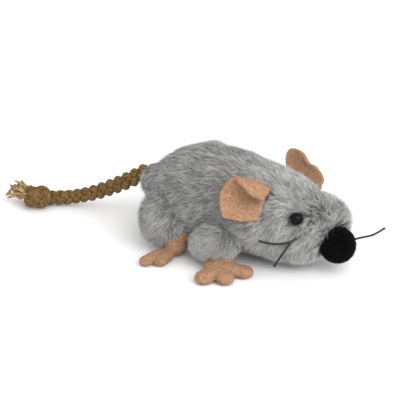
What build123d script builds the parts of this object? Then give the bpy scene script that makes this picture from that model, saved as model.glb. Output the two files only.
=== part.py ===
# Plush mouse with a sealed pull-cord movement inside and a braided tail as the pull handle.
# Millimetres. +X is the nose direction, +Y the mouse's left side, +Z up. The belly rests on Z = 0.
from build123d import *
import math
import os

# ---- driving dimensions ----
# body: a surface of revolution about an axis that dips towards the nose, flat under the belly
AXIS_X, AXIS_Z = -20.0, 20.2          # a point of the body's axis
AXIS_DIP = 5.8                        # degrees that the axis falls towards the nose
GIRTH_R = 19.0                        # largest radius, at CREST along the axis from that point
REAR_END, CREST, FRONT_END = -23.2, 2.7, 57.5
REAR_FULL, RUMP_FULL = 6.3, -0.2      # how full the rump's curve is, across and along the axis
CHEEK_FULL, BROW_FULL = 13.5, 41.0    # the same for the head's curve
SKIN = 1.6                            # pile fabric backing
BELLY_TOP = 4.0                       # height of the seam between belly and side panels
GAP = 0.1                             # gap between sewn skin and stuffing

# legs and feet, on the left side
HAUNCH, HAUNCH_R = (-27.8, 15.0, 10.6), 8.8
FORELEG_REAR, FORELEG_FRONT, FORELEG_R = (-6.0, 18.5, 7.6), (2.5, 18.0, 10.5), 5.6
FRONT_PALM, FRONT_PALM_R = (2.4, 23.4), 6.2
FRONT_TOES, FRONT_TOE_R = [(9.8, 18.3), (7.1, 27.6), (0.7, 31.5)], 3.1
HIND_HEEL, HIND_HEEL_R = (-20.5, 17.3), 4.4
HIND_TOES, HIND_TOE_R = [(-20.4, 28.2), (-25.0, 30.8)], 2.4
ANKLE_LOW, ANKLE_TOP, ANKLE_R = (-20.5, 17.3, 3.9), (-19.6, 14.5, 8.0), 3.8
FOOT_T = 4.2                          # stuffed felt thickness

# face
NOSE, NOSE_R = (37.9, 0.0, 11.0), 6.5
EYE, EYE_R = (26.6, 11.0, 23.1), 2.3
EAR = (10.5, 18.5, 29.6)
EAR_FACING = (0.85, 0.45, 0.15)
EAR_R, EAR_CUP_R, EAR_T = 9.0, 13.0, 1.5
WHISKER_R = 0.4
WHISKERS = {"right": [((30.0, -11.0, 18.2), (16.0, -18.9, 14.3)), ((30.2, -11.2, 17.6), (22.2, -18.0, 6.2))],
            "left": [((30.0, 8.0, 12.2), (43.6, 26.5, 8.3)), ((30.2, 11.2, 17.6), (26.0, 21.5, 9.0))]}

# movement: a box with three axles across it
CASE_X, CASE_Z = -2.5, 16.6           # centre of the case
CASE_L, CASE_W, CASE_H = 30.0, 22.0, 19.2
CASE_WALL = 1.0
BOSS_R, SCREW_R, SCREW_HEAD_R, SCREW_HEAD_T = 1.5, 0.7, 1.3, 0.7
BOSS_SINK = 0.2                       # how far each screw boss runs into the case walls
SCREW_GRIP = 3.0                      # wall left beyond a screw's tip
CROSS_L, CROSS_W = 1.6, 0.3           # the screws' cross recess
AXLE_R = 0.6
BEARING_GAP, BEARING_FLOOR = 0.05, 0.3
AXLE_SHORT = 0.4                      # each axle end is this far inside the case's outer face
MODULE = 0.4
DRUM_TEETH, LAY_PINION_TEETH, LAY_WHEEL_TEETH, ECC_TEETH = 30, 12, 20, 12
DRUM_X = CASE_X - 6.6
LAY_X = DRUM_X + MODULE * (DRUM_TEETH + LAY_PINION_TEETH) / 2
ECC_X = LAY_X + MODULE * (LAY_WHEEL_TEETH + ECC_TEETH) / 2
# levels across the case, from its right side to its left
SPRING_LOW, SPRING_HIGH = -9.6, -6.2
DRUM_LOW, DRUM_HIGH, FLANGE_T = -5.6, 2.6, 0.8
DRUM_GEAR_HIGH = 4.6
LAY_LOW, LAY_MIDDLE, LAY_HIGH = 2.8, 5.6, 7.6
ECC_PINION_LOW, ECC_PINION_HIGH = 5.4, 7.8
WEIGHT_LOW, WEIGHT_HIGH = -8.0, 1.6
HUB_R, WIND_R, FLANGE_R = 4.4, 5.6, 6.2
PULL_R = 0.6                          # pull cord radius
PULL_Z = CASE_Z + HUB_R + PULL_R      # the cord leaves the top of the drum
PULL_HOLE_R = 1.0
WEIGHT_R, WEIGHT_HUB_R, WEIGHT_TOP = 4.8, 1.5, 0.6   # the weight is cut flat at WEIGHT_TOP over its axle
SPRING_T, SPRING_STEP, SPRING_HALF_TURNS = 0.25, 0.32, 14   # strip, growth per half turn
SPRING_EYE_R = AXLE_R + 0.4           # the collar that the spring's inner end grips
SPRING_REACH = SPRING_EYE_R + SPRING_T + SPRING_HALF_TURNS * SPRING_STEP
PEG_R = 0.4                           # case peg that holds the spring's outer end

# where the cord leaves the body
EYELET_R, EYELET_HOLE_R, EYELET_FLANGE_R, EYELET_FLANGE_T = 2.0, 1.1, 3.0, 1.2
EYELET_BACK, EYELET_FRONT = -44.4, -40.0

# tail: braided rope, its overhand knot and the frayed end
TAIL_R = 3.1
TAIL_ROUTE = [(-46.6, 0.0, 21.6), (-52.8, 0.4, 16.7), (-60.9, 1.2, 12.0), (-69.2, 1.8, 7.5),
              (-76.6, 1.4, 4.8), (-83.2, -0.9, 3.4), (-89.4, -5.2, 3.6)]
ARC_SHARE = 0.45                      # of the shorter run beside each bend
KNOT, KNOT_R = (-91.5, -9.3, 4.9), 4.8
FRAY_TIP, FRAY_TIP_R, FRAY_ROOT_R = (-104.5, -6.0, 3.5), 3.0, 2.2

SIDES = {"left": 1, "right": -1}
ACROSS = Vector(0, 1, 0)
FAR = 200.0                           # larger than the whole toy
parts = {}


# ---- helpers ----
def on_axis(along, radius):
    """A point of the body's outline above its axis."""
    dip = math.radians(AXIS_DIP)
    x = AXIS_X + along * math.cos(dip) + radius * math.sin(dip)
    z = AXIS_Z - along * math.sin(dip) + radius * math.cos(dip)
    return Vector(x, 0, z)


def body_solid(inset):
    """The whole body, with its surface moved in by inset."""
    along = on_axis(1, 0) - on_axis(0, 0)
    rear, front = REAR_END + inset, FRONT_END - inset
    top_r = GIRTH_R - inset
    rump = Bezier(on_axis(rear, 0), on_axis(rear, REAR_FULL - inset / 2),
                  on_axis(RUMP_FULL, top_r), on_axis(CREST, top_r))
    head = Bezier(on_axis(CREST, top_r), on_axis(BROW_FULL, top_r),
                  on_axis(front, CHEEK_FULL - inset), on_axis(front, 0))
    face = make_face([rump, head, Line(on_axis(front, 0), on_axis(rear, 0))])
    solid = revolve(face, Axis(on_axis(rear, 0), along), 360)
    return solid - slab_below(inset)


def slab_below(height):
    """Everything under a height."""
    return Pos(0, 0, height - FAR / 2) * Box(2 * FAR, 2 * FAR, FAR)


def half_space(side):
    """Everything on one side of the middle plane."""
    return Pos(0, side * FAR / 2, 0) * Box(2 * FAR, FAR, 2 * FAR)


def largest(shape):
    """The biggest of a shape's solids."""
    return max(shape.solids(), key=lambda solid: solid.volume)


def block(length, width, height):
    """A box about the case's centre."""
    return Pos(CASE_X, 0, CASE_Z) * Box(length, width, height)


def cylinder_across(x, z, radius, y_low, y_high):
    """A cylinder whose axis runs from side to side."""
    base = Plane(origin=(x, y_low, z), x_dir=(1, 0, 0), z_dir=(0, 1, 0))
    return extrude(base * Circle(radius), y_high - y_low, dir=ACROSS)


def cylinder_between(a, b, radius):
    """A round rod from a to b."""
    run = Vector(*b) - Vector(*a)
    return extrude(Plane(origin=a, z_dir=run) * Circle(radius), run.length)


def gear(x, z, teeth, y_low, y_high, turn):
    """A spur gear with slim straight-sided teeth; turn is the angle of its first tooth in degrees."""
    pitch_r = MODULE * teeth / 2
    root_r, tip_r = pitch_r - 1.1 * MODULE, pitch_r + 0.75 * MODULE
    pitch = 2 * math.pi / teeth
    outline = []
    for k in range(teeth):
        middle = math.radians(turn) + k * pitch
        for radius, share in ((root_r, -0.22), (tip_r, -0.09), (tip_r, 0.09), (root_r, 0.22)):
            a = middle + share * pitch
            outline.append((x + radius * math.cos(a), y_low, z + radius * math.sin(a)))
    face = make_face(Polyline(outline, close=True))
    return extrude(face, y_high - y_low, dir=ACROSS)


def toe_foot(side, heel, heel_r, toes, toe_r):
    """A flat stuffed foot: a heel pad joined to each toe pad, given as (x, y) on the left side."""
    heel_x, heel_y = heel[0], side * heel[1]
    shape = Pos(heel_x, heel_y) * Circle(heel_r)
    for toe_x, toe_y in toes:
        toe_y = side * toe_y
        run = Vector(toe_x - heel_x, toe_y - heel_y)
        angle = math.degrees(math.atan2(run.Y, run.X))
        bar = Rot(0, 0, angle) * Rectangle(run.length, 2 * toe_r)
        shape = shape + Pos((heel_x + toe_x) / 2, (heel_y + toe_y) / 2) * bar
        shape = shape + Pos(toe_x, toe_y) * Circle(toe_r)
    return extrude(shape, FOOT_T)


def on_side(point, side):
    """The left-side point, or its mirror image on the right side."""
    return (point[0], side * point[1], point[2])


def capsule(a, b, radius):
    """A rod with round ends."""
    return Pos(*a) * Sphere(radius) + cylinder_between(a, b, radius) + Pos(*b) * Sphere(radius)


# ---- skin and stuffing ----
outer = body_solid(0)
below_floor = slab_below(0)
eyelet_hole = cylinder_between((EYELET_BACK - 2, 0, PULL_Z), (EYELET_FRONT + 4, 0, PULL_Z), EYELET_R)
skin = outer - body_solid(SKIN) - eyelet_hole
parts["belly_panel"] = skin & slab_below(BELLY_TOP)
for name, side in SIDES.items():
    parts["side_panel_" + name] = (skin - slab_below(BELLY_TOP)) & half_space(side)

case_pocket = block(CASE_L + 2 * GAP, CASE_W + 2 * GAP, CASE_H + 2 * GAP)
cord_channel = cylinder_between((EYELET_BACK, 0, PULL_Z), (CASE_X, 0, PULL_Z), EYELET_R + GAP)
parts["stuffing"] = body_solid(SKIN + GAP) - case_pocket - cord_channel

# ---- legs and feet ----
for name, side in SIDES.items():
    thigh = Pos(*on_side(HAUNCH, side)) * Sphere(HAUNCH_R) - outer - below_floor
    parts["haunch_" + name] = thigh
    arm = capsule(on_side(FORELEG_REAR, side), on_side(FORELEG_FRONT, side), FORELEG_R)
    arm = arm - outer - thigh - below_floor
    parts["foreleg_" + name] = arm
    front = toe_foot(side, FRONT_PALM, FRONT_PALM_R, FRONT_TOES, FRONT_TOE_R)
    parts["front_foot_" + name] = largest(front - outer - arm)
    hind = toe_foot(side, HIND_HEEL, HIND_HEEL_R, HIND_TOES, HIND_TOE_R)
    hind = hind + capsule(on_side(ANKLE_LOW, side), on_side(ANKLE_TOP, side), ANKLE_R)
    parts["hind_foot_" + name] = largest(hind - outer - thigh - arm - below_floor)

# ---- ears, eyes, nose, whiskers ----
for name, side in SIDES.items():
    place = Plane(origin=on_side(EAR, side), z_dir=Vector(*on_side(EAR_FACING, side)).normalized())
    bowl_centre = EAR_CUP_R * 0.8
    shell = Pos(0, 0, bowl_centre) * (Sphere(EAR_CUP_R) - Sphere(EAR_CUP_R - EAR_T))
    cup = shell & (Pos(0, 0, bowl_centre - EAR_CUP_R) * Cylinder(EAR_R, 2 * EAR_CUP_R))
    parts["ear_" + name] = largest((place * cup) - outer)
    parts["eye_" + name] = Pos(*on_side(EYE, side)) * Sphere(EYE_R) - outer

parts["nose_pompom"] = Pos(*NOSE) * Sphere(NOSE_R) - outer
for name, threads in WHISKERS.items():
    rods = [largest(cylinder_between(root, tip, WHISKER_R) - outer) for root, tip in threads]
    parts["whiskers_" + name] = Compound(children=rods)

# ---- movement case ----
half_w = CASE_W / 2
case_room = block(CASE_L - 2 * CASE_WALL, CASE_W - 2 * CASE_WALL, CASE_H - 2 * CASE_WALL)
case = block(CASE_L, CASE_W, CASE_H) - case_room
boss_x = CASE_L / 2 - CASE_WALL - BOSS_R + BOSS_SINK
boss_z = CASE_H / 2 - CASE_WALL - BOSS_R + BOSS_SINK
bosses = [(CASE_X + i * boss_x, CASE_Z + k * boss_z) for i in (-1, 1) for k in (-1, 1)]
for x, z in bosses:
    case = case + cylinder_across(x, z, BOSS_R, CASE_WALL / 2 - half_w, half_w - CASE_WALL / 2)
for x, z in bosses:
    case = case - cylinder_across(x, z, SCREW_R, -half_w, half_w - SCREW_GRIP)
    case = case - cylinder_across(x, z, SCREW_HEAD_R, -half_w, SCREW_HEAD_T - half_w)
bearing_end = half_w - BEARING_FLOOR
for x in (DRUM_X, LAY_X, ECC_X):
    case = case - cylinder_across(x, CASE_Z, AXLE_R + BEARING_GAP, -bearing_end, bearing_end)
peg_x = DRUM_X - SPRING_REACH - PEG_R
case = case + cylinder_across(peg_x, CASE_Z, PEG_R, CASE_WALL / 2 - half_w, SPRING_HIGH)
case_back = CASE_X - CASE_L / 2
case = case - cylinder_between((case_back - 1, 0, PULL_Z), (case_back + 3, 0, PULL_Z), PULL_HOLE_R)
for name, side in SIDES.items():
    parts["case_" + name] = case & half_space(side)

screws = []
for x, z in bosses:
    shank = cylinder_across(x, z, SCREW_R, GAP - half_w, half_w - SCREW_GRIP - 2 * GAP)
    head = cylinder_across(x, z, SCREW_HEAD_R - BEARING_GAP, GAP - half_w, SCREW_HEAD_T - half_w)
    recess = Box(CROSS_L, SCREW_HEAD_T, CROSS_W) + Box(CROSS_W, SCREW_HEAD_T, CROSS_L)
    screws.append((shank + head - Pos(x, -half_w, z) * recess).solid())
parts["case_screws"] = Compound(children=screws)

# ---- axles ----
axle_end = half_w - AXLE_SHORT
axles = {}
for name, x in (("drum", DRUM_X), ("intermediate", LAY_X), ("eccentric", ECC_X)):
    axles[name] = cylinder_across(x, CASE_Z, AXLE_R, -axle_end, axle_end)
    parts[name + "_axle"] = axles[name]

# ---- drum, mainspring and pull cord ----
drum = cylinder_across(DRUM_X, CASE_Z, HUB_R, DRUM_LOW, DRUM_HIGH)
drum = drum + cylinder_across(DRUM_X, CASE_Z, FLANGE_R, DRUM_LOW, DRUM_LOW + FLANGE_T)
drum = drum + cylinder_across(DRUM_X, CASE_Z, FLANGE_R, DRUM_HIGH - FLANGE_T, DRUM_HIGH)
parts["cord_drum"] = drum - axles["drum"]
parts["drum_gear"] = gear(DRUM_X, CASE_Z, DRUM_TEETH, DRUM_HIGH, DRUM_GEAR_HIGH, 0) - axles["drum"]
sleeve = cylinder_across(DRUM_X, CASE_Z, WIND_R, DRUM_LOW + FLANGE_T, DRUM_HIGH - FLANGE_T)
parts["cord_winding"] = sleeve - cylinder_across(DRUM_X, CASE_Z, HUB_R, DRUM_LOW, DRUM_HIGH)

spring = None
for k in range(SPRING_HALF_TURNS):
    radius = SPRING_EYE_R + SPRING_T / 2 + k * SPRING_STEP
    x = DRUM_X - (SPRING_STEP if k % 2 else 0)
    ring = cylinder_across(x, CASE_Z, radius + SPRING_T / 2, SPRING_LOW, SPRING_HIGH)
    ring = ring - cylinder_across(x, CASE_Z, radius - SPRING_T / 2, SPRING_LOW, SPRING_HIGH)
    half_ring = ring & Pos(x, 0, CASE_Z + (-FAR / 2 if k % 2 else FAR / 2)) * Box(FAR, FAR, FAR)
    spring = half_ring if spring is None else spring + half_ring
parts["mainspring"] = spring
collar = cylinder_across(DRUM_X, CASE_Z, SPRING_EYE_R, SPRING_LOW, SPRING_HIGH)
parts["spring_collar"] = collar - axles["drum"]

# ---- intermediate gear ----
half_tooth = 180 / LAY_PINION_TEETH
lay = gear(LAY_X, CASE_Z, LAY_PINION_TEETH, LAY_LOW, LAY_MIDDLE, 180 + half_tooth)
lay = lay + gear(LAY_X, CASE_Z, LAY_WHEEL_TEETH, LAY_MIDDLE, LAY_HIGH, 0)
parts["intermediate_gear"] = lay - axles["intermediate"]

# ---- eccentric weight ----
pinion = gear(ECC_X, CASE_Z, ECC_TEETH, ECC_PINION_LOW, ECC_PINION_HIGH, 180 + 180 / ECC_TEETH)
parts["eccentric_pinion"] = pinion - axles["eccentric"]
weight = cylinder_across(ECC_X, CASE_Z, WEIGHT_R, WEIGHT_LOW, WEIGHT_HIGH) & slab_below(CASE_Z + WEIGHT_TOP)
weight = weight + cylinder_across(ECC_X, CASE_Z, WEIGHT_HUB_R, WEIGHT_LOW, WEIGHT_HIGH)
parts["eccentric_weight"] = weight - axles["eccentric"]

# ---- tail and its eyelet ----
eyelet = cylinder_between((EYELET_BACK, 0, PULL_Z), (EYELET_FRONT, 0, PULL_Z), EYELET_R)
flange_front = EYELET_BACK + EYELET_FLANGE_T
flange = cylinder_between((EYELET_BACK, 0, PULL_Z), (flange_front, 0, PULL_Z), EYELET_FLANGE_R) - outer
bore = cylinder_between((EYELET_BACK - 1, 0, PULL_Z), (EYELET_FRONT + 1, 0, PULL_Z), EYELET_HOLE_R)
parts["tail_eyelet"] = largest(eyelet + flange - bore)

route = [Vector(*p) for p in TAIL_ROUTE]
bend_radii = []
for before, here, after in zip(route, route[1:], route[2:]):
    turn = math.radians((here - before).get_angle(after - here))
    shorter = min((here - before).length, (after - here).length)
    bend_radii.append(ARC_SHARE * shorter / math.tan(turn / 2))
print("tail bend radii", [round(r, 1) for r in bend_radii])
path = FilletPolyline(route, radius=bend_radii)
rope = sweep(Plane(origin=path @ 0, z_dir=path % 0) * Circle(TAIL_R), path)
plain_volume = math.pi * TAIL_R ** 2 * path.length
print("tail length", round(path.length, 1), "volume ratio", rope.volume / plain_volume)
knot = Pos(*KNOT) * Sphere(KNOT_R)
parts["tail_rope"] = largest(rope - knot)
parts["tail_knot"] = knot
fray_run = Vector(*FRAY_TIP) - Vector(*KNOT)
fray_cone = Pos(0, 0, fray_run.length / 2) * Cone(FRAY_ROOT_R, FRAY_TIP_R, fray_run.length)
parts["tail_fray"] = Plane(origin=KNOT, z_dir=fray_run) * fray_cone - knot

cord_start = DRUM_X - math.sqrt(WIND_R ** 2 - HUB_R ** 2) - 2 * GAP
cord = cylinder_between((cord_start, 0, PULL_Z), (TAIL_ROUTE[0][0], 0, PULL_Z), PULL_R)
parts["pull_cord"] = largest(cord - rope)

# ---- write ----
os.makedirs("parts", exist_ok=True)
for name, solid in parts.items():
    export_step(solid, "parts/" + name + ".step")
print(len(parts), "nodes")
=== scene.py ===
# A grey plush mouse with felt ears and feet, a pompom nose and a braided tail on a pull cord. Metres.
import math
import bpy
import numpy as np
from mathutils import Matrix, Vector, kdtree, noise
from mathutils.bvhtree import BVHTree


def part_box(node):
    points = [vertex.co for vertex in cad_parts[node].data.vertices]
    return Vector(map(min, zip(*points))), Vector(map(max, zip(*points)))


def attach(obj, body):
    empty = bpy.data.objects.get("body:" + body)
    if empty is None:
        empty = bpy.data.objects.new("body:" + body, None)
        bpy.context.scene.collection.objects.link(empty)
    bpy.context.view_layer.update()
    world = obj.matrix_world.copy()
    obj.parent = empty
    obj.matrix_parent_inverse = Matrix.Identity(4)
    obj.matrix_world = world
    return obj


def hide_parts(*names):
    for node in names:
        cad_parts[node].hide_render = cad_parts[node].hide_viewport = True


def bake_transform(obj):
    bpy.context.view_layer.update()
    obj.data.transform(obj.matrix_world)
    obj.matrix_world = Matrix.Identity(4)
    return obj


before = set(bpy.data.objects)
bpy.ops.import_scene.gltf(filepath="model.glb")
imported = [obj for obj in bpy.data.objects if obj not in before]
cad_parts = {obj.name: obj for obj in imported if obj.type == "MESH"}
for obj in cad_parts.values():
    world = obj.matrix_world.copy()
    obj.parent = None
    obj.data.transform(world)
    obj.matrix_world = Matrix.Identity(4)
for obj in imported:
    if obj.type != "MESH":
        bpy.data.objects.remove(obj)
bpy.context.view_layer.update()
MM = 0.001
SEED = 7
BODY, TAIL = "mouse", "tail"
SIDES = (("right", -1), ("left", 1))


# ---------------------------------------------------------------- places taken from the frame
def middle(node):
    """Centre of a CAD node's box."""
    low, high = (np.array(c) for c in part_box(node))
    return (low + high) / 2


def unit(v):
    v = np.asarray(v, float)
    return v / np.maximum(np.linalg.norm(v, axis=-1, keepdims=True), 1e-12)


def v3(x, y, z):
    return np.array([x, y, z], float)


# ---------------------------------------------------------------- camera, light and floor
AZIMUTH, ELEVATION = math.radians(31), math.radians(23.5)
CAMERA_DISTANCE = 0.55
FRAME_WIDTH = 0.1447                  # width seen at the nose's distance
NOSE_OFFSET = (0.0507, -0.0165)       # the nose, right of and above the picture's centre


def camera_axes():
    right = v3(math.cos(AZIMUTH), math.sin(AZIMUTH), 0)
    back = v3(math.sin(AZIMUTH) * math.cos(ELEVATION), -math.cos(AZIMUTH) * math.cos(ELEVATION),
              math.sin(ELEVATION))
    return right, np.cross(back, right), back


def add_camera():
    right, up, back = camera_axes()
    aim = middle("nose_pompom") - right * NOSE_OFFSET[0] - up * NOSE_OFFSET[1]
    data = bpy.data.cameras.new("camera")
    data.sensor_width = 36
    data.lens = data.sensor_width * CAMERA_DISTANCE / FRAME_WIDTH
    data.clip_start, data.clip_end = 0.01, 20
    camera = bpy.data.objects.new("camera", data)
    turn = Matrix([[right[i], up[i], back[i]] for i in range(3)]).to_4x4()
    camera.matrix_world = Matrix.Translation(aim + back * CAMERA_DISTANCE) @ turn
    bpy.context.collection.objects.link(camera)
    bpy.context.scene.camera = camera


def add_light(name, place, size, power):
    data = bpy.data.lights.new(name, "AREA")
    data.shape, data.size, data.energy = "DISK", size, power
    lamp = bpy.data.objects.new(name, data)
    lamp.location = place
    lamp.rotation_euler = (-Vector(place)).to_track_quat("-Z", "Y").to_euler()
    bpy.context.collection.objects.link(lamp)


def add_studio():
    scene = bpy.context.scene
    scene.view_settings.view_transform = "Standard"
    world = bpy.data.worlds.new("studio")
    scene.world = world
    world.use_nodes = True
    background = world.node_tree.nodes["Background"]
    background.inputs["Color"].default_value = (1.0, 1.0, 1.0, 1)
    background.inputs["Strength"].default_value = 0.95
    add_light("key_light", (0.55, -0.45, 0.6), 0.7, 5.2)
    add_light("fill_light", (0.75, -0.1, 0.45), 0.6, 2.2)
    mesh = bpy.data.meshes.new("floor")
    half = 3.0
    mesh.from_pydata([(-half, -half, 0), (half, -half, 0), (half, half, 0), (-half, half, 0)], [], [(0, 1, 2, 3)])
    floor = bpy.data.objects.new("floor", mesh)
    floor.location.z = -0.0002
    bpy.context.collection.objects.link(floor)
    floor.data.materials.append(cloth_material("floor_paper", (0.90, 0.90, 0.90), (0.93, 0.93, 0.93), 30, 0, 0.9))


# ---------------------------------------------------------------- materials
def shader_tree(name):
    material = bpy.data.materials.new(name)
    material.use_nodes = True
    tree = material.node_tree
    return material, tree, tree.nodes["Principled BSDF"]


def noise_node(tree, scale, detail=4):
    coords = tree.nodes.new("ShaderNodeTexCoord")
    texture = tree.nodes.new("ShaderNodeTexNoise")
    texture.inputs["Scale"].default_value = scale
    texture.inputs["Detail"].default_value = detail
    tree.links.new(coords.outputs["Object"], texture.inputs["Vector"])
    return texture.outputs["Fac"]


def ramp_node(tree, fac, stops):
    """stops: (place, (r, g, b)) pairs."""
    ramp = tree.nodes.new("ShaderNodeValToRGB")
    elements = ramp.color_ramp.elements
    while len(elements) < len(stops):
        elements.new(0.5)
    for element, (place, color) in zip(elements, stops):
        element.position = place
        element.color = (*color, 1)
    tree.links.new(fac, ramp.inputs["Fac"])
    return ramp.outputs["Color"]


def multiply_node(tree, a, b, factor=1.0):
    mix = tree.nodes.new("ShaderNodeMix")
    mix.data_type, mix.blend_type = "RGBA", "MULTIPLY"
    mix.inputs["Factor"].default_value = factor
    tree.links.new(a, mix.inputs[6])
    tree.links.new(b, mix.inputs[7])
    return mix.outputs[2]


def bump_node(tree, shader, height, strength, distance):
    bump = tree.nodes.new("ShaderNodeBump")
    bump.inputs["Strength"].default_value = strength
    bump.inputs["Distance"].default_value = distance
    tree.links.new(height, bump.inputs["Height"])
    tree.links.new(bump.outputs["Normal"], shader.inputs["Normal"])


def cloth_material(name, dark, light, scale, bump, rough, sheen=0.0, metallic=0.0, detail=5):
    """A two-tone mottled surface with an optional fine relief."""
    material, tree, shader = shader_tree(name)
    grain = noise_node(tree, scale, detail)
    tree.links.new(ramp_node(tree, grain, [(0.3, dark), (0.7, light)]), shader.inputs["Base Color"])
    shader.inputs["Roughness"].default_value = rough
    shader.inputs["Metallic"].default_value = metallic
    shader.inputs["Sheen Weight"].default_value = sheen
    shader.inputs["Specular IOR Level"].default_value = 0.5 if metallic or rough < 0.6 else 0.15
    if bump:
        bump_node(tree, shader, noise_node(tree, scale * 3, 3), bump, 0.0003)
    return material


def strand_material(name, stops, mottle, rough=0.75, sheen=0.0):
    """Fibres: colour from a per-point attribute along each fibre, mottled by a broad noise; the low values at the roots
    are painted shade.
    """
    material, tree, shader = shader_tree(name)
    tone_and_shade = tree.nodes.new("ShaderNodeAttribute")
    tone_and_shade.attribute_name = "tone_and_shade"
    color = ramp_node(tree, tone_and_shade.outputs["Fac"], stops)
    broad = ramp_node(tree, noise_node(tree, 160, 3), [(0.3, mottle), (0.7, (1, 1, 1))])
    tree.links.new(multiply_node(tree, color, broad), shader.inputs["Base Color"])
    shader.inputs["Roughness"].default_value = rough
    shader.inputs["Sheen Weight"].default_value = sheen
    shader.inputs["Specular IOR Level"].default_value = 0.25
    return material


# ---------------------------------------------------------------- mesh helpers
def new_object(name, vertices, faces, material, smooth=True):
    mesh = bpy.data.meshes.new(name)
    mesh.from_pydata([tuple(v) for v in vertices], [], [tuple(f) for f in faces])
    mesh.validate()
    obj = bpy.data.objects.new(name, mesh)
    bpy.context.collection.objects.link(obj)
    mesh.materials.append(material)
    if smooth:
        mesh.shade_smooth()
    return obj


def grid_faces(rows, columns, wrap=True):
    faces = []
    for i in range(rows - 1):
        for j in range(columns if wrap else columns - 1):
            k = (j + 1) % columns
            faces.append((i * columns + j, i * columns + k, (i + 1) * columns + k, (i + 1) * columns + j))
    return faces


def apply_modifiers(obj):
    """Bakes an object's modifiers into its mesh."""
    graph = bpy.context.evaluated_depsgraph_get()
    graph.update()
    old = obj.data
    new = bpy.data.meshes.new_from_object(obj.evaluated_get(graph))
    obj.modifiers.clear()
    obj.data = new
    bpy.data.meshes.remove(old)


def remeshed(obj, voxel, smooth_steps):
    """Joins an object's overlapping shells into one skin and relaxes it."""
    remesh = obj.modifiers.new("remesh", "REMESH")
    remesh.mode, remesh.voxel_size, remesh.use_smooth_shade = "VOXEL", voxel, True
    relax = obj.modifiers.new("relax", "SMOOTH")
    relax.factor, relax.iterations = 0.5, smooth_steps
    apply_modifiers(obj)
    obj.data.shade_smooth()
    return obj


def coordinates(obj):
    out = np.empty(len(obj.data.vertices) * 3)
    obj.data.vertices.foreach_get("co", out)
    return out.reshape(-1, 3)


def set_coordinates(obj, points):
    obj.data.vertices.foreach_set("co", np.asarray(points, float).ravel())
    obj.data.update()


def keep_above(obj, height):
    """Flattens what would be lower than a height."""
    points = coordinates(obj)
    points[:, 2] = np.maximum(points[:, 2], height)
    set_coordinates(obj, points)


def roughen(obj, amount, scale, seed=0):
    """Moves the surface in and out by a smooth noise."""
    points = coordinates(obj)
    normals = np.empty(points.size)
    obj.data.vertices.foreach_get("normal", normals)
    normals = normals.reshape(-1, 3)
    offset = Vector((seed * 3.1, seed * 1.7, 0))
    lift = np.array([noise.noise(Vector(p) * scale + offset) for p in points])
    set_coordinates(obj, points + normals * (lift * amount)[:, None])


def ellipsoid(centre, radii, turn=None, rows=24, columns=36):
    """Vertices and faces of an ellipsoid; turn is a 3x3 matrix."""
    points = []
    for i in range(rows + 1):
        a = math.pi * (i + 0.02) / (rows + 0.04)
        for j in range(columns):
            b = 2 * math.pi * j / columns
            points.append((math.sin(a) * math.cos(b), math.sin(a) * math.sin(b), math.cos(a)))
    points = np.array(points) * np.array(radii)
    if turn is not None:
        points = points @ np.array(turn).T
    faces = grid_faces(rows + 1, columns)
    faces.append(tuple(range(columns - 1, -1, -1)))
    faces.append(tuple(rows * columns + j for j in range(columns)))
    return points + np.asarray(centre), faces


def blob(name, shapes, material, voxel, smooth_steps):
    """One skin round several overlapping (vertices, faces) shapes."""
    vertices, faces = [], []
    for points, polygons in shapes:
        start = len(vertices)
        vertices.extend(points)
        faces.extend([tuple(start + k for k in polygon) for polygon in polygons])
    return remeshed(new_object(name, vertices, faces, material), voxel, smooth_steps)


def frames_along(points):
    """Tangents and two normals that don't spin, along a polyline."""
    tangents = unit(np.gradient(points, axis=0))
    side = np.cross(tangents[0], v3(0, 0, 1))
    side = unit(side) if np.linalg.norm(side) > 1e-6 else v3(0, 1, 0)
    sides = []
    for tangent in tangents:
        side = unit(side - tangent * np.dot(side, tangent))
        sides.append(side)
    sides = np.array(sides)
    return tangents, sides, np.cross(tangents, sides)


def tube(points, radii, columns=10, grooves=0, depth=0.0, twist=0.0):
    """Vertices and faces of a closed tube; grooves run round it as twisted yarns do."""
    points = np.asarray(points, float)
    radii = np.broadcast_to(radii, len(points))
    _, sides, ups = frames_along(points)
    run = np.concatenate([[0], np.cumsum(np.linalg.norm(np.diff(points, axis=0), axis=1))])
    angle = np.arange(columns) * 2 * math.pi / columns
    ripple = 1 + depth * np.abs(np.cos(grooves * angle[None] / 2 + twist * run[:, None])) - depth if grooves else 1
    reach = radii[:, None] * ripple * np.ones((1, columns))
    rings = points[:, None] + reach[..., None] * (
        np.cos(angle)[None, :, None] * sides[:, None] + np.sin(angle)[None, :, None] * ups[:, None])
    vertices = list(rings.reshape(-1, 3)) + [points[0], points[-1]]
    faces = grid_faces(len(points), columns)
    first, last = len(vertices) - 2, len(vertices) - 1
    top = (len(points) - 1) * columns
    for j in range(columns):
        k = (j + 1) % columns
        faces.append((first, k, j))
        faces.append((last, top + j, top + k))
    return vertices, faces


def joined(name, shapes, material):
    vertices, faces = [], []
    for points, polygons in shapes:
        start = len(vertices)
        vertices.extend(points)
        faces.extend([tuple(start + k for k in polygon) for polygon in polygons])
    return new_object(name, vertices, faces, material)


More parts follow.
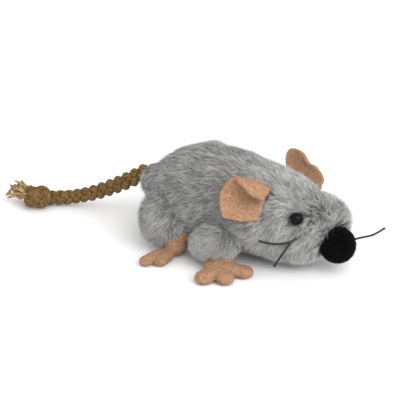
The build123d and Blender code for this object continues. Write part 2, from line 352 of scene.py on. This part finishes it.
# ---------------------------------------------------------------- fibres
def scatter(obj, count, rng):
    """Random points of a mesh's surface, evenly by area, with their normals."""
    mesh = obj.data
    mesh.calc_loop_triangles()
    triangles = np.empty(len(mesh.loop_triangles) * 3, dtype=np.int32)
    mesh.loop_triangles.foreach_get("vertices", triangles)
    triangles = triangles.reshape(-1, 3)
    points = coordinates(obj)
    normals = np.empty(points.size)
    mesh.vertices.foreach_get("normal", normals)
    normals = normals.reshape(-1, 3)
    corners = points[triangles]
    area = np.linalg.norm(np.cross(corners[:, 1] - corners[:, 0], corners[:, 2] - corners[:, 0]), axis=1)
    chosen = rng.choice(len(triangles), count, p=area / area.sum())
    mix = rng.dirichlet((1, 1, 1), count)
    at = (corners[chosen] * mix[..., None]).sum(1)
    out = unit((normals[triangles[chosen]] * mix[..., None]).sum(1))
    return at, out


def wander(points, scale, seed):
    """A smooth vector noise, one vector a point."""
    offset = Vector((seed * 1.3, seed * 2.9, seed * 0.7))
    return np.array([noise.noise_vector(Vector(p) * scale + offset) for p in points])


def crosses(tree, start, end):
    """Whether the line from start to end meets a surface."""
    way = Vector(end - start)
    return tree.ray_cast(Vector(start), way, way.length)[0] is not None


def fibres(name, roots, normals, comb, material, rng, length=6 * MM, width=0.19 * MM, lift=0.5, droop=0.12,
           clump=0.6, per_clump=16, mess=0.35, tone_and_shade=(0.05, 0.5, 0.85), spread=0.24, near_floor=1.0, avoid=()):
    """A mesh of flat tapered fibres. comb(points) gives the lie of the pile; the tone and shade values are at root,
    middle, tip, the low root value being painted shade deep in the pile.

    Fibres rooted near the floor are shorter, by near_floor, and fibres that cross a tree in avoid are left out.
    """
    count = len(roots)
    flow = comb(roots) + mess * wander(roots, 180, 3) + 0.5 * mess * rng.normal(size=(count, 3))
    flow = unit(flow - normals * (flow * normals).sum(1, keepdims=True))
    reach = length * rng.uniform(0.7, 1.15, count)[:, None]
    height = np.clip((roots[:, 2:] - 2 * MM) / (8 * MM), 0, 1)
    reach = reach * (near_floor + (1 - near_floor) * height)
    bend = roots + 0.48 * reach * unit(flow + lift * normals)
    tips = bend + 0.52 * reach * unit(flow + droop * normals + 0.22 * rng.normal(size=(count, 3)))
    leaders = rng.choice(count, max(1, count // per_clump), replace=False)
    tree = kdtree.KDTree(len(leaders))
    for k, leader in enumerate(leaders):
        tree.insert(roots[leader], k)
    tree.balance()
    mine = np.array([tree.find(p)[1] for p in roots])
    led = leaders[mine]
    pull = clump * rng.uniform(0.5, 1.0, count)[:, None]
    tips = tips + pull * (tips[led] - tips)
    bend = bend + 0.35 * pull * (bend[led] - bend)
    heights = rng.uniform(-1, 1, len(leaders))[mine]
    if avoid:
        free = np.array([not any(crosses(tree, a, b) or crosses(tree, b, c) for tree in avoid)
                         for a, b, c in zip(roots, bend, tips)])
        roots, normals, bend, tips, heights = (part[free] for part in (roots, normals, bend, tips, heights))
        count = len(roots)
    across = unit(np.cross(bend - roots, normals) + 0.45 * rng.normal(size=(count, 3)) * length)
    half = 0.5 * width * rng.uniform(0.7, 1.3, count)[:, None]
    corners = np.stack([roots - across * half, roots + across * half, bend + across * half * 0.9,
                        bend - across * half * 0.9, tips], axis=1)
    corners[..., 2] = np.maximum(corners[..., 2], 0.05 * MM)
    mesh = bpy.data.meshes.new(name)
    mesh.vertices.add(count * 5)
    mesh.vertices.foreach_set("co", corners.ravel())
    base = np.arange(count)[:, None] * 5
    loops = (base + np.array([0, 1, 2, 3, 3, 2, 4])).ravel()
    mesh.loops.add(count * 7)
    mesh.loops.foreach_set("vertex_index", loops.astype(np.int32))
    mesh.polygons.add(count * 2)
    starts = (np.arange(count)[:, None] * 7 + np.array([0, 4])).ravel()
    mesh.polygons.foreach_set("loop_start", starts.astype(np.int32))
    mesh.update(calc_edges=True)
    # colour value a point: low at the root as painted shade deep in the pile, higher towards the tip, varied at random
    # by clump and by fibre
    shade = np.array([tone_and_shade[0], tone_and_shade[0], tone_and_shade[1], tone_and_shade[1], tone_and_shade[2]])[None] * np.ones((count, 1))
    shade += spread * (0.75 * heights + 0.7 * rng.uniform(-1, 1, count))[:, None]
    layer = mesh.attributes.new("tone_and_shade", "FLOAT", "POINT")
    layer.data.foreach_set("value", np.clip(shade, 0, 1).ravel().astype(np.float32))
    cells = math.ceil(math.sqrt(count))
    cell = np.stack([np.arange(count) % cells, np.arange(count) // cells], axis=1)[:, None]
    inside = np.array([(0.2, 0.2), (0.8, 0.2), (0.8, 0.5), (0.2, 0.5), (0.2, 0.5), (0.8, 0.5), (0.5, 0.8)])
    uv = mesh.uv_layers.new(name="OFBake")
    uv.data.foreach_set("uv", ((cell + inside) / cells).ravel().astype(np.float32))
    obj = bpy.data.objects.new(name, mesh)
    bpy.context.collection.objects.link(obj)
    mesh.materials.append(material)
    mesh.shade_smooth()
    return obj


# ---------------------------------------------------------------- body shape
# the body's outline (mm), turned about an axis that dips towards the nose
AXIS_AT = v3(-20.0, 0, 20.2)
DIP = math.radians(5.8)
ALONG = v3(math.cos(DIP), 0, -math.sin(DIP))
UPWARD = v3(math.sin(DIP), 0, math.cos(DIP))
GIRTH_R = 19.0
REAR_END, CREST, FRONT_END = -23.2, 2.7, 57.5
REAR_FULL, RUMP_FULL = 8.5, -0.2
CHEEK_FULL, BROW_FULL = 13.5, 41.0
PILE_INSET = 1.6                      # how far the cloth lies under the pile's outer surface
FILLING_INSET = 4.5


def bezier(points, t):
    a, b, c, d = (np.array(p, float) for p in points)
    t = t[:, None]
    return (1 - t) ** 3 * a + 3 * (1 - t) ** 2 * t * b + 3 * (1 - t) * t ** 2 * c + t ** 3 * d


def body_form(name, inset, floor_gap, material, columns=96):
    """The stuffed body and head, a dipped barrel flat where it lies, with its surface moved in by inset."""
    top = GIRTH_R - inset
    rear, front = REAR_END + inset, FRONT_END - inset
    steps = np.linspace(0.004, 1, 60)
    rump = bezier([(rear, 0), (rear, REAR_FULL - inset / 2), (RUMP_FULL, top), (CREST, top)], steps)
    head = bezier([(CREST, top), (BROW_FULL, top), (front, CHEEK_FULL - inset), (front, 0)], steps[:-1])
    profile = np.concatenate([rump, head[1:]])
    angle = np.arange(columns) * 2 * math.pi / columns
    around = np.cos(angle)[:, None] * v3(0, 1, 0) + np.sin(angle)[:, None] * UPWARD
    points = np.concatenate([AXIS_AT + place * ALONG + radius * around for place, radius in profile])
    faces = grid_faces(len(profile), columns)
    faces.append(tuple(range(columns - 1, -1, -1)))
    last = (len(profile) - 1) * columns
    faces.append(tuple(last + j for j in range(columns)))
    rear = np.clip((-24 - points[:, 0]) / 16, 0, 1)
    points[:, 0] += rear * np.interp(points[:, 2], (6, 14, 20, 28), (-3.2, -3.2, -0.3, 3.2))
    snout = np.clip((points[:, 0] - 27) / 5, 0, 1)
    cheeks = np.where(points[:, 1] > 0, 3.2, 0.0) * np.clip(np.abs(points[:, 1]) / 5, 0, 1) * snout
    points[:, 1] += np.sign(points[:, 1]) * cheeks
    points[:, 0] += 0.6 * cheeks
    brow = np.clip(1 - np.abs(points[:, 0] - 28) / 12, 0, 1) * np.clip((points[:, 2] - 17) / 6, 0, 1)
    points[:, 2] -= 1.0 * brow
    throat = np.clip(1 - np.abs(points[:, 0] - 9) / 13, 0, 1) * np.clip((np.abs(points[:, 1]) - 5) / 6, 0, 1)
    points[:, 2] += 3.5 * throat * np.clip((12 - points[:, 2]) / 12, 0, 1)
    form = new_object(name, points * MM, faces, material)
    roughen(form, 1.0 * MM, 90, 1)
    keep_above(form, floor_gap)
    return form


def head_comb(points):
    """On the head the pile is brushed away from the nose, and on the cheeks it hangs down and back."""
    away = points - nose_at
    far = np.clip((np.linalg.norm(away, axis=1) - 8 * MM) / (5 * MM), 0, 1)
    cheek = (far * np.clip((28 * MM - points[:, 2]) / (7 * MM), 0, 1))[:, None]
    chin = np.clip((11 * MM - points[:, 2]) / (8 * MM), 0, 1)[:, None]
    side = np.sign(points[:, 1])[:, None]
    hang = v3(-0.5, 0, -0.8) + side * v3(0, 0.2, 0) + chin * v3(0.25, 0, 0)
    return (1 - cheek) * unit(away) + cheek * hang


def body_comb(points):
    """The pile lies towards the tail and a little down."""
    side = np.sign(points[:, 1])[:, None]
    flow = v3(-1, 0, -0.22) + side * v3(0, 0.1, 0)
    blend = np.clip((points[:, 0] / MM - 4) / 10, 0, 1)[:, None]
    return (1 - blend) * flow + blend * head_comb(points)


# ---------------------------------------------------------------- make everything
add_camera()
add_studio()

# the pile's backing cloth is painted dark grey, as shade in the partings of the pile
backing_shade_cloth = cloth_material("pile_backing_shade", (0.07, 0.07, 0.075), (0.13, 0.13, 0.135), 900, 0.3, 0.95)
# the pile's fibres run from near black at the root, painted shade deep in the pile, to light grey at the tip
fur = strand_material("grey_pile", [(0.0, (0.03, 0.03, 0.029)), (0.4, (0.185, 0.184, 0.178)),
                                    (0.72, (0.43, 0.43, 0.42)), (1.0, (0.76, 0.76, 0.745))],
                      (0.80, 0.80, 0.79), 0.7)
felt = cloth_material("tan_felt", (0.26, 0.135, 0.07), (0.445, 0.265, 0.165), 1300, 0.7, 0.95, 0.05, detail=8)
felt_fuzz = strand_material("tan_fuzz", [(0.0, (0.25, 0.134, 0.073)), (1.0, (0.52, 0.33, 0.215))], (0.86, 0.84, 0.82))
black_wool = strand_material("black_wool", [(0.0, (0.0015, 0.0015, 0.0015)), (0.7, (0.004, 0.004, 0.004)),
                                            (1.0, (0.04, 0.04, 0.042))], (0.7, 0.7, 0.7), 0.85)
black_core = cloth_material("pompom_core", (0.002, 0.002, 0.002), (0.005, 0.005, 0.005), 1800, 0.4, 0.95)
thread = cloth_material("waxed_thread", (0.003, 0.003, 0.003), (0.012, 0.012, 0.013), 2500, 0.3, 0.45)
bead = cloth_material("eye_bead", (0.002, 0.002, 0.0025), (0.004, 0.004, 0.005), 300, 0, 0.15)
bead.node_tree.nodes["Principled BSDF"].inputs["Specular IOR Level"].default_value = 0.12
rope = cloth_material("rope_yarn", (0.06, 0.031, 0.011), (0.255, 0.150, 0.060), 1100, 0.8, 0.9)
fray_straw = cloth_material("fray_straw", (0.22, 0.13, 0.055), (0.50, 0.35, 0.18), 900, 0.6, 0.9)


def finish_piece(obj, body, slot, *nodes):
    if nodes:
        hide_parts(*nodes)
    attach(obj, body)
    return obj


# nose, which the head's pile is brushed away from
NOSE_R = 6.5 * MM
nose_at = np.array(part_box("nose_pompom")[1]) - NOSE_R

# ears: each is a felt sheet with its edge sewn on, given by rows of points (mm): sewn edge, middle, free edge
EARS = {
    "right": [[(14.0, -16.6, 21.3), (9.0, -20.2, 21.3), (3.1, -23.0, 22.7)],
              [(14.5, -15.0, 24.7), (8.3, -19.0, 24.5), (1.9, -23.4, 26.5)],
              [(14.6, -13.6, 27.8), (8.1, -15.2, 28.0), (1.6, -22.8, 31.2)],
              [(15.2, -12.0, 30.2), (9.2, -13.8, 31.9), (2.7, -21.4, 34.5)],
              [(15.7, -11.2, 31.8), (11.4, -14.4, 35.2), (4.3, -20.0, 36.8)],
              [(16.2, -14.2, 31.6), (12.4, -18.4, 35.8), (6.3, -20.0, 37.9)],
              [(15.8, -17.4, 29.8), (12.6, -21.2, 33.4), (8.7, -21.4, 37.6)]],
    "left": [[(11.3, 12.0, 24.4), (8.8, 15.5, 28.5), (7.3, 17.0, 30.5)],
             [(13.2, 11.7, 24.1), (8.4, 17.0, 29.9), (6.4, 19.0, 34.1)],
             [(15.2, 11.2, 24.0), (11.1, 17.5, 30.7), (8.7, 20.0, 36.0)],
             [(17.5, 10.4, 24.0), (14.5, 16.5, 31.0), (13.1, 19.0, 35.4)],
             [(19.5, 10.2, 23.4), (17.8, 15.0, 29.8), (17.2, 16.0, 33.3)],
             [(21.5, 9.5, 23.3), (20.6, 14.5, 29.4), (20.4, 15.5, 32.6)],
             [(23.1, 9.3, 22.6), (23.2, 13.5, 28.3), (23.2, 15.0, 30.5)],
             [(24.4, 9.0, 22.4), (24.6, 12.5, 26.9), (24.8, 13.5, 28.6)]],
}
EAR_THICK = 1.5 * MM


def smooth_rows(points, count):
    """Resamples rows of points with a Catmull-Rom curve through them."""
    points = np.asarray(points, float)
    padded = np.concatenate([[2 * points[0] - points[1]], points, [2 * points[-1] - points[-2]]])
    out = []
    for u in np.linspace(0, len(points) - 1, count):
        k = min(int(u), len(points) - 2)
        t = u - k
        a, b, c, d = padded[k:k + 4]
        out.append(0.5 * (2 * b + (c - a) * t + (2 * a - 5 * b + 4 * c - d) * t ** 2
                          + (3 * b - a - 3 * c + d) * t ** 3))
    return np.array(out)


def ear(name, rows):
    grid = smooth_rows(rows, 34)
    grid = smooth_rows(np.swapaxes(grid, 0, 1), 22)
    count = grid.shape[1]
    sheet = new_object(name, grid.reshape(-1, 3) * MM, grid_faces(len(grid), count, wrap=False), felt)
    area = sum(face.area for face in sheet.data.polygons)
    thick = sheet.modifiers.new("felt", "SOLIDIFY")
    thick.thickness, thick.offset = EAR_THICK, 0
    soft = sheet.modifiers.new("soft", "SUBSURF")
    soft.levels = soft.render_levels = 1
    apply_modifiers(sheet)
    sheet.data.shade_smooth()
    roughen(sheet, 0.2 * MM, 450, 8)
    return sheet, area


rng = np.random.default_rng(SEED)
ear_trees = []
for word, rows in EARS.items():
    flap, area = ear("ear_felt_" + word, rows)
    ear_trees.append(BVHTree.FromPolygons([v.co for v in flap.data.vertices],
                                          [tuple(face.vertices) for face in flap.data.polygons]))
    at, out = scatter(flap, 4000, rng)
    nap = fibres("ear_nap_" + word, at, out, lambda p: rng.normal(size=p.shape), felt_fuzz, rng, length=0.55 * MM,
                 width=0.11 * MM, lift=0.8, droop=0.4, clump=0.2, per_clump=6, tone_and_shade=(0.3, 0.6, 0.9), spread=0.3)
    finish_piece(nap, BODY, "tan_felt")
    finish_piece(flap, BODY, "tan_felt", "ear_" + word)
    print("ear", word, "cut area mm2", area / MM ** 2)

# body pile, in regions
skin = body_form("body_skin", PILE_INSET, 0.4 * MM, backing_shade_cloth)
roots, normals = scatter(skin, 118000, rng)
eyes = [middle("eye_right"), middle("eye_left")]
obstacles = ear_trees + [BVHTree.FromPolygons(*ellipsoid(eye, v3(1, 1, 1) * 2.45 * MM)) for eye in eyes]
clear = np.linalg.norm(roots - nose_at, axis=1) > NOSE_R + 0.6 * MM
for eye in eyes:
    clear &= np.linalg.norm(roots - eye, axis=1) > 3.0 * MM
roots, normals = roots[clear], normals[clear]
tail_root = np.linalg.norm(roots - middle("tail_eyelet"), axis=1) < 6.5 * MM
belly = (normals[:, 2] < -0.75) & (roots[:, 2] < 3 * MM)
# the head's and forehead's edges are jittered at random, so the step from the head's painted light to the sides'
# painted shade is soft
head_part = (roots[:, 0] + 4 * MM * rng.normal(size=len(roots)) > 8 * MM) & ~belly
muzzle_part = head_part & (np.linalg.norm(roots - nose_at, axis=1) < 17 * MM)
side_part = ~head_part & ~belly & ~tail_root
forehead = head_part & ~muzzle_part & (roots[:, 2] + 2 * MM * rng.normal(size=len(roots)) > 22 * MM)
FINE = dict(width=0.16 * MM, clump=0.55, per_clump=10)
# the regions' tone and shade values paint light and shade on one grey pile: the muzzle and forehead painted lightest as
# light on the head, the cheeks less, the sides and tail root darkest as painted shade
REGIONS = {
    "fur_muzzle": (muzzle_part, dict(FINE, length=5.2 * MM, lift=1.1, droop=0.5, mess=0.6, tone_and_shade=(0.16, 0.66, 1.0))),
    "fur_forehead": (forehead, dict(FINE, length=4.8 * MM, lift=0.85, droop=0.3, mess=0.75, tone_and_shade=(0.12, 0.66, 1.0))),
    "fur_cheeks": (head_part & ~muzzle_part & ~forehead, dict(FINE, length=5.6 * MM, lift=0.55, droop=0.2, mess=0.45,
                                                              spread=0.38, tone_and_shade=(0.05, 0.56, 0.95))),
    "fur_side_left": (side_part & (roots[:, 1] > 0), dict(FINE, length=5.8 * MM, lift=0.5, droop=0.18, mess=0.55,
                                                          spread=0.31, tone_and_shade=(0.0, 0.42, 0.78))),
    "fur_side_right": (side_part & (roots[:, 1] <= 0), dict(FINE, length=5.8 * MM, lift=0.5, droop=0.18, mess=0.55,
                                                            spread=0.31, tone_and_shade=(0.0, 0.42, 0.78))),
    "fur_tail_root": (tail_root & ~belly, dict(FINE, length=5.2 * MM, lift=1.35, droop=0.8, mess=0.5,
                                               tone_and_shade=(0.0, 0.42, 0.78))),
    "fur_belly": (belly & (rng.random(len(roots)) < 0.25), dict(length=2.5 * MM, lift=0.15)),
}
for name, (chosen, settings) in REGIONS.items():
    coat = fibres(name, roots[chosen], normals[chosen], body_comb, fur, rng, near_floor=0.5, avoid=obstacles, **settings)
    finish_piece(coat, BODY, "grey_pile_fabric")
guards = ~belly & ~tail_root & (rng.random(len(roots)) < 0.16)
coat = fibres("fur_guard_hairs", roots[guards], normals[guards], body_comb, fur, rng, length=6.0 * MM,
              width=0.13 * MM, lift=0.6, droop=0.3, clump=0.35, per_clump=5, mess=0.7, tone_and_shade=(0.2, 0.6, 0.95),
              near_floor=0.45, avoid=obstacles)
finish_piece(coat, BODY, "grey_pile_fabric")
finish_piece(skin, BODY, "grey_pile_fabric", "belly_panel", "side_panel_left", "side_panel_right")
wadding = cloth_material("white_fibre", (0.75, 0.75, 0.73), (0.92, 0.92, 0.9), 700, 0.8, 0.95, 0.3)
filling = body_form("stuffing_fibre", FILLING_INSET, 2.5 * MM, wadding, 64)
roughen(filling, 0.5 * MM, 300, 4)
finish_piece(filling, BODY, "white_fibre", "stuffing")

# haunches and forelegs
def pile_limb(name, fur_name, centre, radii, axis, comb, node, count, length):
    """A stuffed ellipsoid in pile fabric, its long side along axis (mm)."""
    across = unit(np.cross(v3(0, 0, 1), axis))
    turn = np.array([axis, across, np.cross(axis, across)]).T
    limb = blob(name, [ellipsoid(centre * MM, radii * MM, turn)], backing_shade_cloth, 0.9 * MM, 4)
    roughen(limb, 0.5 * MM, 120, 3)
    keep_above(limb, 0.6 * MM)
    at, out = scatter(limb, count, rng)
    keep = (out[:, 1] * np.sign(centre[1]) > -0.4) & (at[:, 2] > 0.8 * MM)
    coat = fibres(fur_name, at[keep], out[keep], lambda p: np.tile(comb, (len(p), 1)), fur, rng, length=length, width=0.15 * MM,
                  lift=0.5, mess=0.65, droop=0.2, clump=0.5, per_clump=9, near_floor=0.6, tone_and_shade=(0.05, 0.56, 0.95))
    finish_piece(coat, BODY, "grey_pile_fabric")
    finish_piece(limb, BODY, "grey_pile_fabric", node)


for word, side in SIDES:
    pile_limb("haunch_skin_" + word, "fur_haunch_" + word, v3(-26.8, side * 14.6, 12.2), v3(8.2, 7.8, 9.8),
              unit(v3(1, 0, 0)), v3(-0.35, 0.15 * side, -0.8), "haunch_" + word, 16000, 5.4 * MM)
    pile_limb("foreleg_skin_" + word, "fur_foreleg_" + word, v3(-2.6, side * 18.4, 9.6), v3(8.2, 5.4, 5.6),
              unit(v3(0.9, -0.1 * side, 0.35)), v3(-0.55, 0.25 * side, -0.65), "foreleg_" + word, 15000, 5.6 * MM)


# feet
def pad(x, y, z, rx, ry, rz, turn=None):
    return ellipsoid(v3(x, y, z) * MM, v3(rx, ry, rz) * MM, turn)


def toe(heel, tip, radius, height):
    """A blunt toe from the heel to its tip (mm), as two overlapping pads."""
    run = v3(tip[0] - heel[0], tip[1] - heel[1], 0)
    reach = np.linalg.norm(run)
    axis = run / reach
    turn = np.array([axis, v3(-axis[1], axis[0], 0), v3(0, 0, 1)]).T
    centre = v3(heel[0], heel[1], 0) + run * 0.66
    return [pad(*centre[:2], height * 0.5, reach * 0.52, radius, height * 0.55, turn),
            pad(tip[0], tip[1], height * 0.45, radius, radius, height * 0.5)]


def felt_foot(name, shapes, node):
    """A stuffed felt foot from overlapping pads, flat underneath, with a short felt nap."""
    foot = blob(name, shapes, felt, 0.42 * MM, 4)
    roughen(foot, 0.25 * MM, 380, 5)
    keep_above(foot, 0.1 * MM)
    at, out = scatter(foot, 3500, rng)
    nap = fibres(name + "_nap", at, out, lambda p: rng.normal(size=p.shape), felt_fuzz, rng, length=0.55 * MM,
                 width=0.11 * MM, lift=0.8, droop=0.4, clump=0.2, per_clump=6, tone_and_shade=(0.3, 0.6, 0.9), spread=0.3)
    finish_piece(nap, BODY, "tan_felt")
    finish_piece(foot, BODY, "tan_felt", node)


for word, side in SIDES:
    palm = (2.4, side * 23.4)
    shapes = [pad(palm[0], palm[1], 2.7, 6.3, 6.0, 2.9), pad(0.4, side * 19.6, 4.2, 5.0, 4.6, 3.4)]
    for x, y in ((10.7, 20.6), (7.4, 28.6), (0.7, 32.3)):
        shapes += toe(palm, (x, side * y), 3.4, 4.4)
    felt_foot("front_foot_felt_" + word, shapes, "front_foot_" + word)
    heel = (-20.5, side * 17.3)
    shapes = [pad(heel[0], heel[1], 4.0, 4.3, 4.4, 3.9), pad(-19.9, side * 15.4, 7.0, 3.8, 3.8, 3.8)]
    for x, y in ((-20.4, 28.2), (-25.0, 30.8)):
        shapes += toe(heel, (x, side * y), 2.4, 4.0)
    felt_foot("hind_foot_felt_" + word, shapes, "hind_foot_" + word)


# nose and whiskers
core = blob("pompom_core", [ellipsoid(nose_at, v3(1, 1, 1) * (NOSE_R - 0.7 * MM), rows=32, columns=48)],
            black_core, 0.6 * MM, 2)
at, out = scatter(core, 16000, rng)
wool = fibres("pompom_wool", at, out, lambda p: rng.normal(size=p.shape), black_wool, rng, length=1.4 * MM,
              width=0.17 * MM, lift=2.2, droop=1.4, clump=0.4, per_clump=10, mess=0.4, tone_and_shade=(0.0, 0.35, 0.75))
finish_piece(core, BODY, "black_wool", "nose_pompom")
finish_piece(wool, BODY, "black_wool")


def curve_points(points, count=40):
    """Points along a smooth open NURBS curve through given control points (mm)."""
    data = bpy.data.curves.new("guide", "CURVE")
    data.dimensions = "3D"
    spline = data.splines.new("NURBS")
    spline.points.add(len(points) - 1)
    for p, co in zip(spline.points, points):
        p.co = (*(np.array(co) * MM), 1)
    spline.order_u = 3
    spline.use_endpoint_u = True
    spline.resolution_u = 24
    obj = bpy.data.objects.new("guide", data)
    mesh = bpy.data.meshes.new_from_object(obj)
    out = np.array([v.co for v in mesh.vertices])
    bpy.data.meshes.remove(mesh)
    bpy.data.objects.remove(obj)
    bpy.data.curves.remove(data)
    return out


WHISKERS = {
    "right": [[(30.6, -10.8, 18.9), (28.0, -14.6, 16.2), (24.2, -16.4, 14.6), (19.9, -18.0, 14.2), (16.2, -19.0, 14.9)],
              [(29.4, -11.2, 18.4), (26.7, -15.0, 15.7), (24.9, -17.4, 11.8), (22.3, -19.0, 6.6)]],
    "left": [[(33.0, 8.5, 9.5), (36.0, 11.5, 7.6), (39.5, 17.0, 7.6), (42.6, 22.0, 7.4), (44.2, 26.6, 8.6)],
             [(29.4, 11.2, 18.4), (27.6, 15.0, 15.0), (26.6, 18.5, 11.8), (25.6, 21.6, 8.6)]],
}
for word, lines in WHISKERS.items():
    shapes = []
    for line in lines:
        path = curve_points(line)
        shapes.append(tube(path, 0.45 * MM, 10, 3, 0.2, 5200))
        shapes.append(ellipsoid(path[-1], v3(0.55, 0.55, 0.5) * MM, rows=10, columns=12))
    finish_piece(joined("whisker_threads_" + word, shapes, thread), BODY, "black_thread", "whiskers_" + word)

# tail: the rope's line, its three braided strands, knot and fray
TAIL_ROUTE = [(-43.2, 0.0, 23.0), (-52.8, 0.4, 16.7), (-60.9, 1.2, 12.0), (-69.2, 1.8, 7.5),
              (-76.6, 1.4, 4.5), (-83.2, -0.9, 3.0), (-89.4, -5.2, 3.2)]
line = curve_points(TAIL_ROUTE)
run = np.concatenate([[0], np.cumsum(np.linalg.norm(np.diff(line, axis=0), axis=1))])
total = run[-1]
steps = np.linspace(0, total, 300)
centre = np.stack([np.interp(steps, run, line[:, k]) for k in range(3)], 1)
_, sides, ups = frames_along(centre)
tight = np.clip((steps / total - 0.55) / 0.2, 0, 1)
phase = 2 * math.pi * np.cumsum(np.gradient(steps) / ((14.5 - 4.0 * tight) * MM))
slim = 1 - 0.10 * np.clip((steps / total - 0.2) / 0.6, 0, 1)
wide = (1.75 - 0.3 * tight) * slim * MM
deep = (1.15 - 0.05 * tight) * slim * MM
strand_r = (1.66 + 0.15 * tight) * slim * MM
shapes = []
for k in range(3):
    a = phase + k * 2 * math.pi / 3
    spot = centre + ups * (wide * np.cos(a))[:, None] + sides * (deep * np.sin(2 * a))[:, None]
    shapes.append(tube(spot, strand_r, 28, 6, 0.14, 1500))
braid = joined("tail_braid", shapes, rope)
keep_above(braid, 0.1 * MM)

knot_at = middle("tail_knot") + v3(0.4, 0.4, -0.1) * MM
t = np.linspace(-0.30, 2 * math.pi * 0.93, 150)
loop = np.stack([np.sin(t) + 2 * np.sin(2 * t), np.cos(t) - 2 * np.cos(2 * t), -1.2 * np.sin(3 * t)], 1)
loop = loop * v3(1.2, 1.1, 1.2) * MM
knot = joined("tail_knot_rope", [tube(loop + knot_at, 2.6 * MM, 40, 8, 0.2, 1300)], rope)
keep_above(knot, 0.1 * MM)

shapes = []
for k in range(95):
    root = knot_at + v3(-2.5, rng.uniform(-1.6, 1.8), rng.uniform(-1.2, 1.4)) * MM
    reach = rng.uniform(6.0, 9.5)
    way = unit(v3(-1, rng.normal(0.06, 0.17), rng.normal(0.0, 0.16)))
    kink = rng.normal(0, 0.8, (6, 3))
    points = np.array([root + way * reach * s * MM + kink[i] * s * MM for i, s in enumerate(np.linspace(0, 1, 6))])
    points[:, 2] = np.maximum(points[:, 2], 0.5 * MM)
    shapes.append(tube(points, np.linspace(0.52, 0.46, 6) * MM, 8, 3, 0.2, 2600))
fray = joined("tail_fray_yarns", shapes, fray_straw)
finish_piece(braid, TAIL, "brown_rope", "tail_rope")
finish_piece(knot, TAIL, "brown_rope", "tail_knot")
finish_piece(fray, TAIL, "brown_rope", "tail_fray")

# the pull cord, which runs out of the eyelet as the tail is pulled
pull_low, pull_high = (np.array(c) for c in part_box("pull_cord"))
pull_r = (pull_high[2] - pull_low[2]) / 2
pull_y, pull_z = (pull_low[1] + pull_high[1]) / 2, (pull_low[2] + pull_high[2]) / 2
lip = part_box("tail_eyelet")[0][0]
spots = np.concatenate([np.linspace(pull_high[0], lip, 8), np.linspace(lip, pull_low[0] - 0.0005, 14)[1:]])
cord_line = np.array([v3(x, pull_y, pull_z) for x in spots])
cord_white = cloth_material("pull_cord_nylon", (0.5, 0.5, 0.48), (0.8, 0.8, 0.78), 2200, 0.5, 0.6)
pull = joined("pull_cord_run", [tube(cord_line, pull_r, 14, 6, 0.12, 2500)], cord_white)
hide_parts("pull_cord")
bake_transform(pull)

# what stays as the frame has it: eyes, eyelet and the sealed movement
KEPT = {
    "eye_left": bead, "eye_right": bead,
    "tail_eyelet": cloth_material("eyelet_brass", (0.45, 0.30, 0.11), (0.62, 0.46, 0.2), 600, 0.1, 0.35, 0, 1.0),
    "eccentric_weight": cloth_material("weight_iron", (0.10, 0.10, 0.10), (0.2, 0.2, 0.21), 500, 0.4, 0.55, 0, 1.0),
    "cord_winding": cord_white,
}
case_plastic = cloth_material("case_plastic", (0.04, 0.045, 0.05), (0.06, 0.065, 0.075), 900, 0.15, 0.5)
gear_plastic = cloth_material("gear_nylon", (0.72, 0.69, 0.6), (0.8, 0.78, 0.7), 500, 0.1, 0.4)
steel = cloth_material("bright_steel", (0.45, 0.45, 0.46), (0.6, 0.6, 0.61), 1200, 0.1, 0.3, 0, 1.0)
for node in ("case_left", "case_right"):
    KEPT[node] = case_plastic
for node in ("cord_drum", "drum_gear", "intermediate_gear", "eccentric_pinion", "spring_collar"):
    KEPT[node] = gear_plastic
for node in ("case_screws", "mainspring", "drum_axle", "intermediate_axle", "eccentric_axle"):
    KEPT[node] = steel
for node, material in KEPT.items():
    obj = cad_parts[node]
    if not obj.material_slots:
        obj.data.materials.append(material)
    for place in obj.material_slots:
        place.link = "OBJECT"
        place.material = material
